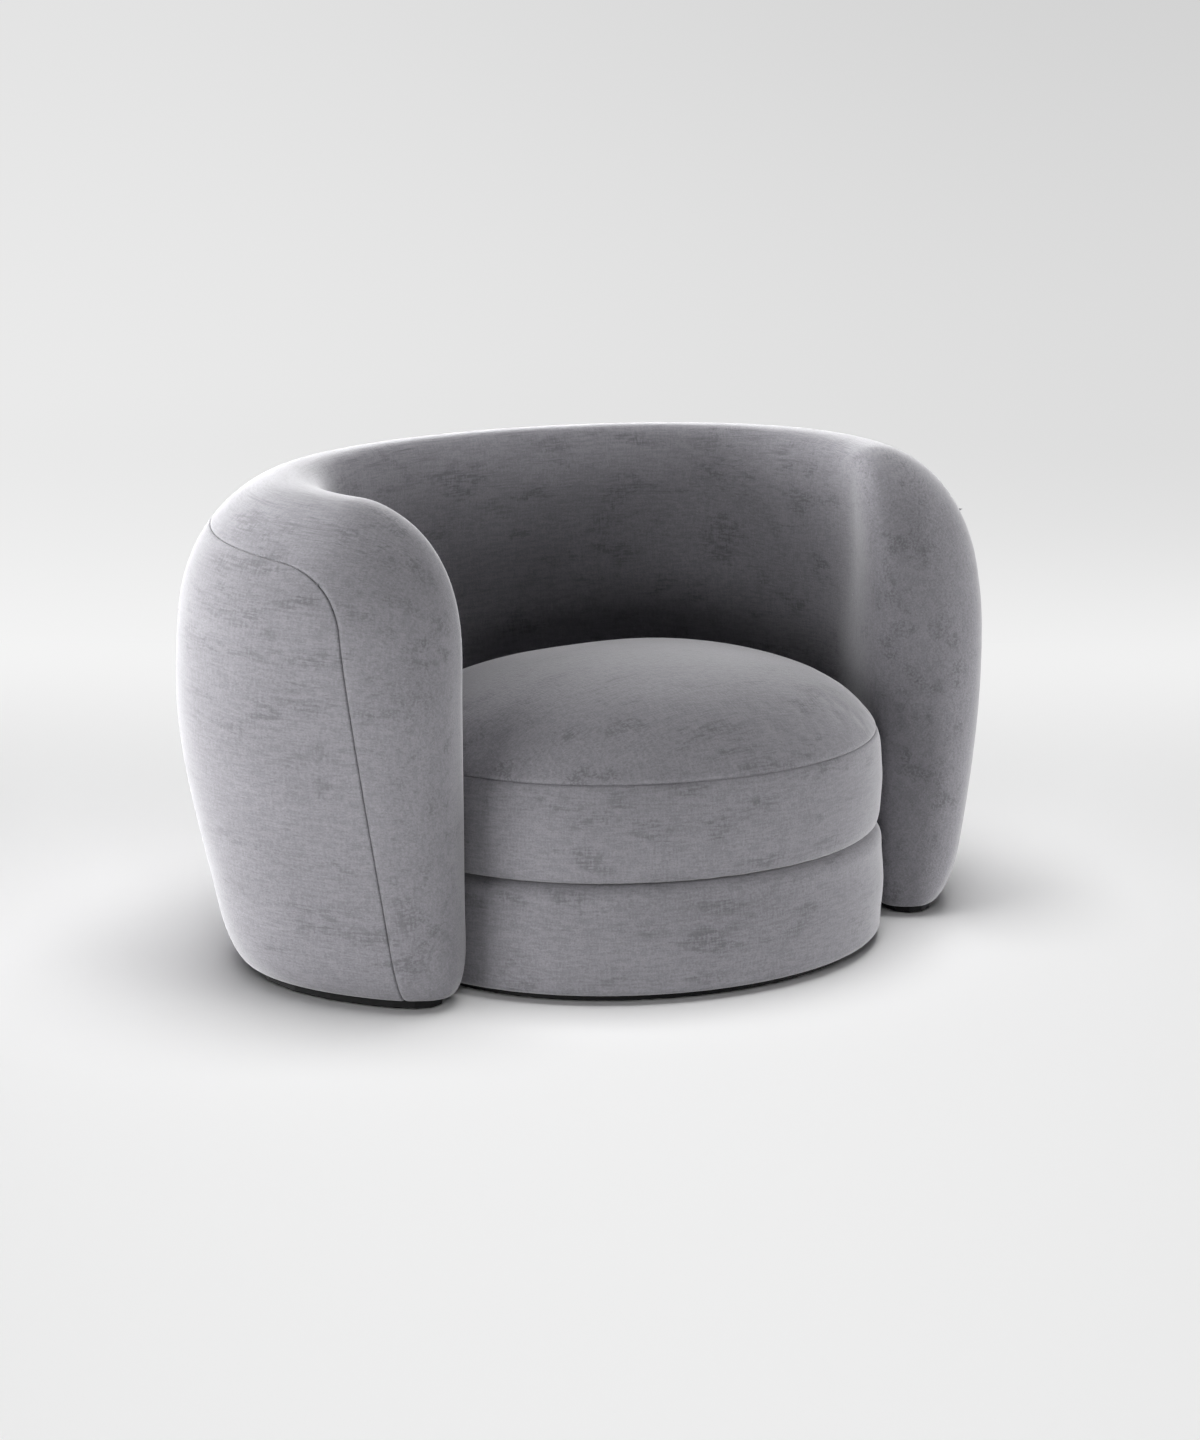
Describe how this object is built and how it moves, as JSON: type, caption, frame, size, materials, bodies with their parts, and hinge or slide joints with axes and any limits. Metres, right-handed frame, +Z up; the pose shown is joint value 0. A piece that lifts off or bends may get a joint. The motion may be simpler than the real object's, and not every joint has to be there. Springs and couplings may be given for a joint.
{
  "type": "cuddle chair",
  "caption": "Wide low round armchair for two to sit close: a padded horseshoe shell makes back and arms round an upholstered drum with a loose crowned seat cushion, on a recessed plinth.",
  "frame": {"origin": "on the floor under the middle of the chair's overall box", "axes": "+X towards the sitter's left-hand arm as seen from the front (right in a front view), -Y to the front of the chair, +Z up"},
  "size_m": [1.2736, 0.9115, 0.71],
  "materials": {
    "velvet": "short-pile velvet, mottled nap",
    "foam": "open-cell foam",
    "plywood": "bare plywood",
    "hardboard": "bare hardboard",
    "black_lacquer": "black satin lacquer",
    "nylon": "moulded, matte",
    "spring_steel": "plain drawn wire and strip",
    "felt": "needled felt",
    "black_cloth": "plain woven cloth"
  },
  "bodies": {
    "chair": {"outside_cover": "velvet", "inside_cover": "velvet", "left_arm_foam": "foam", "right_arm_foam": "foam", "back_inner_foam": "foam", "back_outer_foam": "foam", "shell_outer_board": "hardboard", "shell_inner_board": "hardboard", "shell_base_board": "plywood", "shell_top_board": "plywood", "shell_rib_1": "plywood", "shell_rib_2": "plywood", "shell_rib_3": "plywood", "shell_rib_4": "plywood", "shell_rib_5": "plywood", "shell_rib_6": "plywood", "shell_rib_7": "plywood", "shell_rib_8": "plywood", "shell_rib_9": "plywood", "seat_base_cover": "velvet", "seat_base_foam": "foam", "seat_base_floor": "plywood", "seat_base_hoop": "hardboard", "seat_base_ring": "plywood", "seat_base_post_1": "plywood", "seat_base_post_2": "plywood", "seat_base_post_3": "plywood", "seat_base_post_4": "plywood", "seat_base_post_5": "plywood", "seat_base_post_6": "plywood", "seat_spring_1": "spring_steel", "seat_spring_2": "spring_steel", "seat_spring_3": "spring_steel", "seat_spring_4": "spring_steel", "seat_spring_5": "spring_steel", "spring_clip_front_1": "spring_steel", "spring_clip_front_2": "spring_steel", "spring_clip_front_3": "spring_steel", "spring_clip_front_4": "spring_steel", "spring_clip_front_5": "spring_steel", "spring_clip_rear_1": "spring_steel", "spring_clip_rear_2": "spring_steel", "spring_clip_rear_3": "spring_steel", "spring_clip_rear_4": "spring_steel", "spring_clip_rear_5": "spring_steel", "deck_pad": "felt", "deck_cloth": "black_cloth", "plinth": "black_lacquer", "glide_1": "nylon", "glide_2": "nylon", "glide_3": "nylon", "glide_4": "nylon", "glide_5": "nylon", "glide_6": "nylon"},
    "seat_cushion": {"cushion_top_panel": "velvet", "cushion_border": "velvet", "cushion_zip": "nylon", "cushion_base_panel": "velvet", "cushion_foam": "foam"}
  },
  "joints": [
    {"name": "seat_cushion_lift", "type": "slide", "parent": "chair", "child": "seat_cushion", "axis": [0, 0, 1], "range_m": [0, 0.5]}
  ]
}
